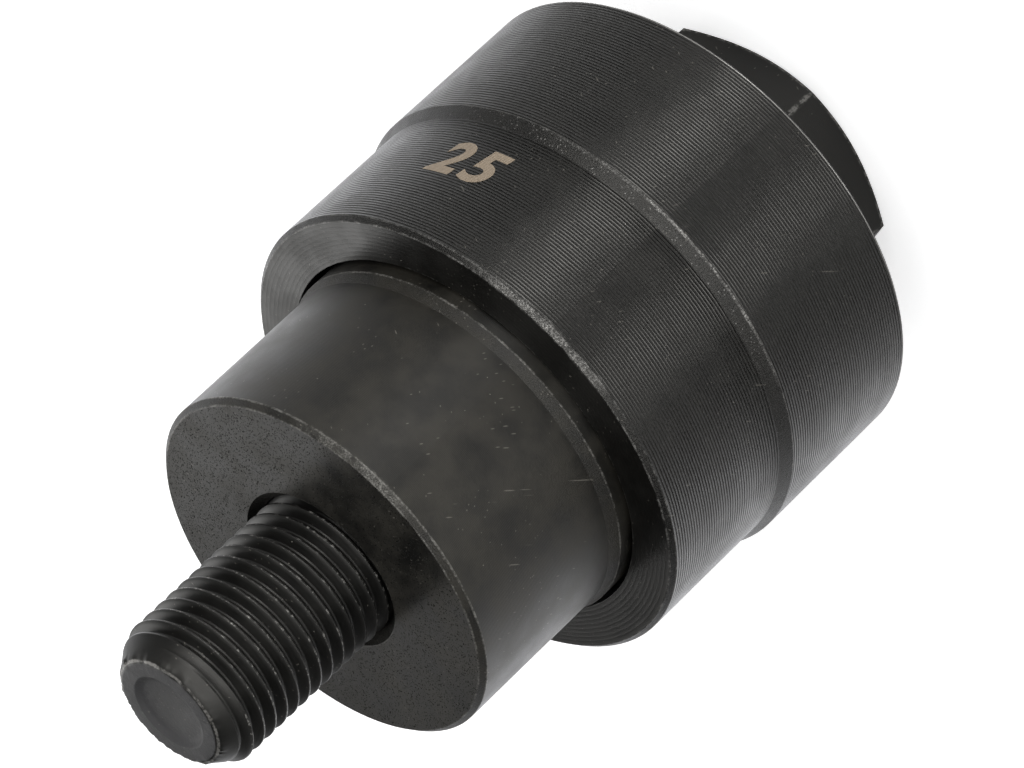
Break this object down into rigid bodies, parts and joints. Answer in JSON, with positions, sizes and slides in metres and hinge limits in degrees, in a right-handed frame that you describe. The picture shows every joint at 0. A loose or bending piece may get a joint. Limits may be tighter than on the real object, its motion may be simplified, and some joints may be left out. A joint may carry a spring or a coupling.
{
  "type": "tap hole cutter",
  "caption": "Screw-drawn round hole punch for thin sheet: hex head draw bolt, cup die, threaded punch with a wave-shaped cutting edge, and a ball thrust bearing.",
  "frame": {"origin": "centre of the end face of the bolt's hex head, on which the tool stands", "axes": "+Z along the tool's axis from the bolt head to the thread's end, +X through a corner of the hex head"},
  "size_m": [0.0326, 0.0326, 0.0554],
  "materials": {
    "die_steel": "black oxide over fine turning marks",
    "punch_steel": "black oxide, matt, with a lighter ground flare",
    "bolt_steel": "black oxide, lightly oiled",
    "race_steel": "ground",
    "ball_steel": "polished",
    "cage_steel": "machined"
  },
  "bodies": {
    "die_body": {"die": "die_steel", "housing_race": "race_steel"},
    "bolt_body": {"draw_bolt": "bolt_steel", "shaft_race": "race_steel"},
    "cage_body": {"ball_cage": "cage_steel", "ball_01": "ball_steel", "ball_02": "ball_steel", "ball_03": "ball_steel", "ball_04": "ball_steel", "ball_05": "ball_steel", "ball_06": "ball_steel", "ball_07": "ball_steel", "ball_08": "ball_steel", "ball_09": "ball_steel", "ball_10": "ball_steel"},
    "punch_body": {"punch": "punch_steel"}
  },
  "joints": [
    {"name": "punch_travel", "type": "slide", "parent": "die_body", "child": "punch_body", "axis": [0, 0, 1], "range_m": [-0.003, 0.024]},
    {"name": "bolt_turn", "type": "hinge", "parent": "die_body", "child": "bolt_body", "pos_m": [0, 0, 0.0109], "axis": [0, 0, 1], "range_deg": [-8640.01, 1080.01]},
    {"name": "cage_turn", "type": "hinge", "parent": "die_body", "child": "cage_body", "pos_m": [0, 0, 0.0109], "axis": [0, 0, 1], "range_deg": [-4320.01, 540.01]}
  ],
  "couplings": [
    {"joint": "bolt_turn", "follows": "punch_travel", "rad_per_m": -6283.2},
    {"joint": "cage_turn", "follows": "punch_travel", "rad_per_m": -3141.6}
  ]
}
